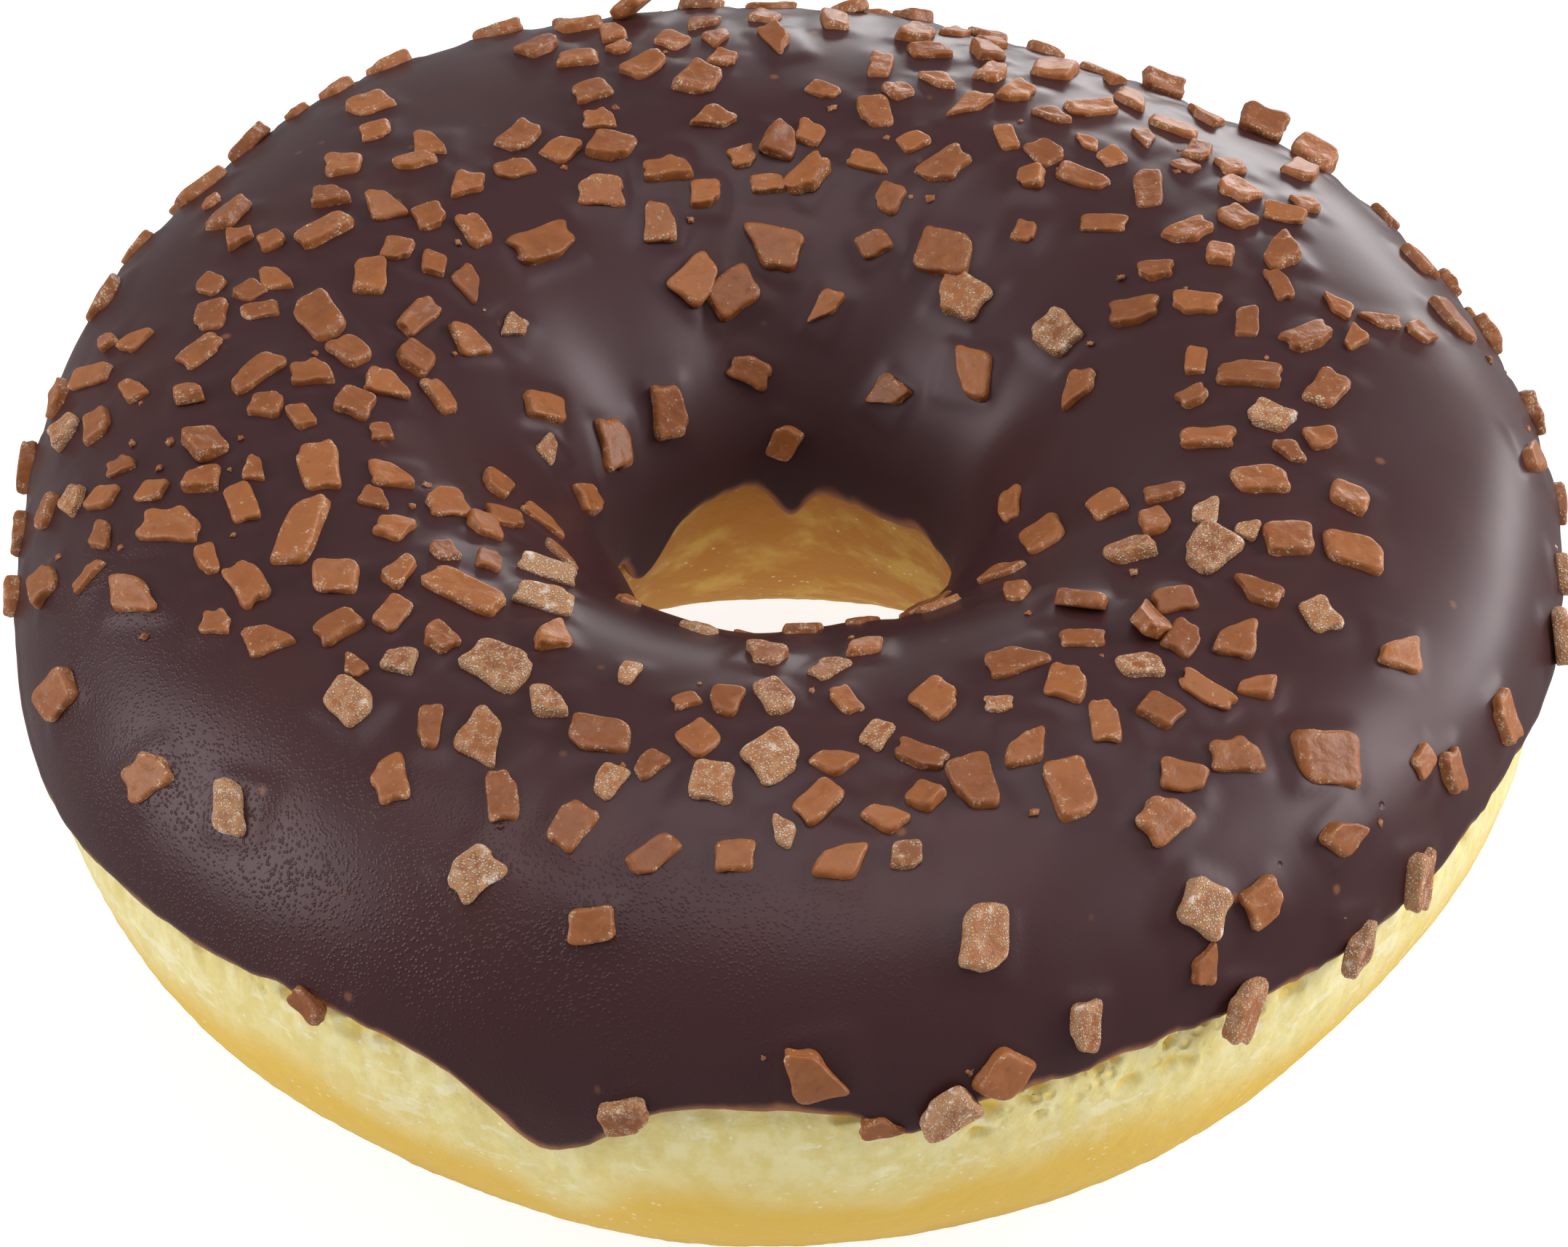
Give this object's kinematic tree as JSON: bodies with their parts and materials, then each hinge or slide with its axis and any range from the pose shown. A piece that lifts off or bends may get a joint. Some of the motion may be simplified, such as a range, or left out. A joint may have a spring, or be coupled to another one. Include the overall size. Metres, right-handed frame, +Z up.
{
  "type": "iced ring doughnut",
  "caption": "Ring doughnut of golden dough with a poured dark chocolate icing over the top and small flat caramel chips set in it.",
  "frame": {"origin": "on the surface the doughnut rests on, under the middle of its outline", "axes": "+Z up through the hole, -Y towards the viewer, +X to the viewer's right"},
  "size_m": [0.0936, 0.0972, 0.0388],
  "materials": {
    "dough": "fried yeast dough, golden below and pale under the icing",
    "icing": "set dark chocolate icing, satin",
    "chips": "caramel chips, some dusted with sugar"
  },
  "bodies": {
    "root": {"dough": "dough", "icing": "icing"}
  },
  "joints": []
}
